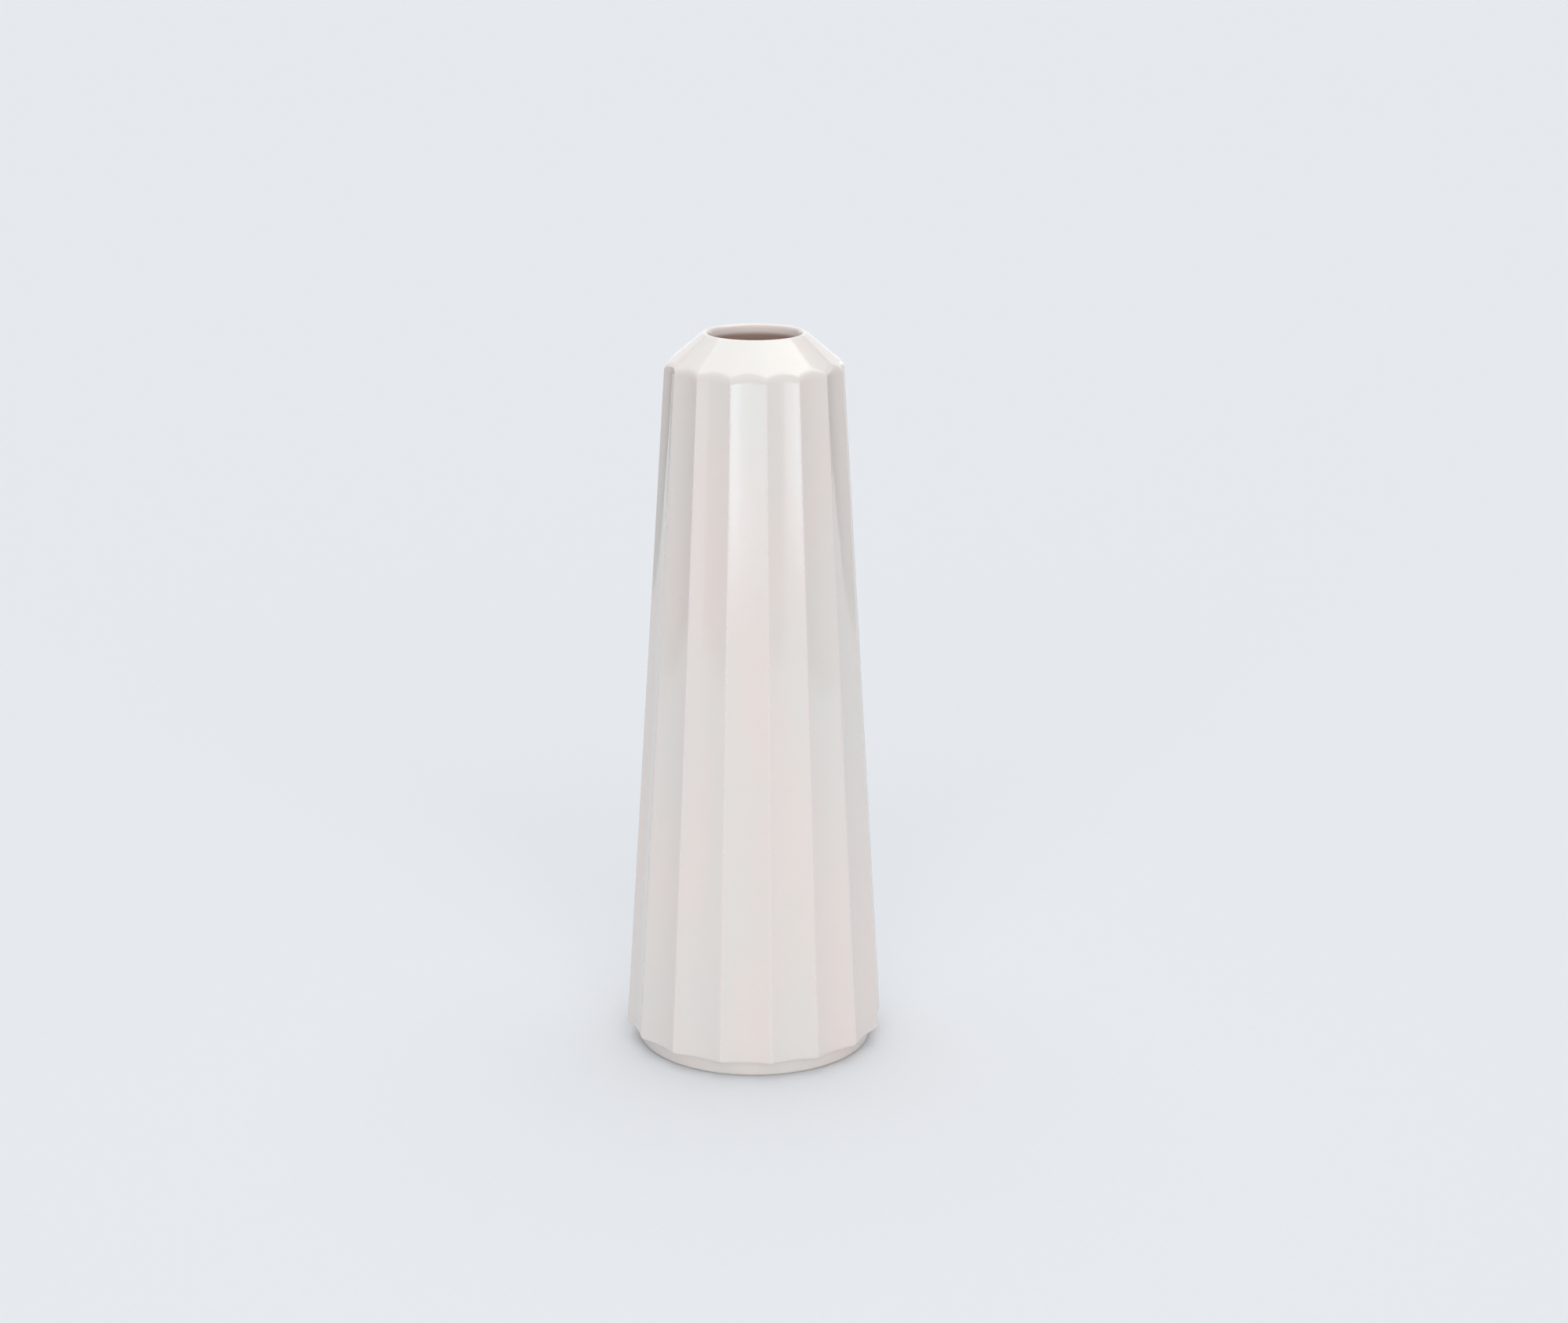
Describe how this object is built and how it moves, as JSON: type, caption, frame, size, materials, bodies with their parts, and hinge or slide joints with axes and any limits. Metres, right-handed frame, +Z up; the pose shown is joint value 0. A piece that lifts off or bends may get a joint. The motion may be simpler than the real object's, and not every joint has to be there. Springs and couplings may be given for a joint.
{
  "type": "bud vase",
  "caption": "Tall tapered bud vase in glazed porcelain, with hollow vertical flutes, a conical shoulder, a small round mouth with a rolled lip, and a plain round foot.",
  "frame": {"origin": "centre of the foot, on the surface the vase stands on", "axes": "+Z up along the vase's axis, from the foot to the mouth; the middle of one flute faces -Y"},
  "size_m": [0.064, 0.064, 0.18],
  "materials": {
    "porcelain": "matte",
    "outer_glaze": "gloss",
    "liner_glaze": "gloss",
    "base_glaze": "gloss"
  },
  "bodies": {
    "root": {"ceramic_body": "porcelain", "outer_glaze": "outer_glaze", "liner_glaze": "liner_glaze", "base_glaze": "base_glaze"}
  },
  "joints": []
}
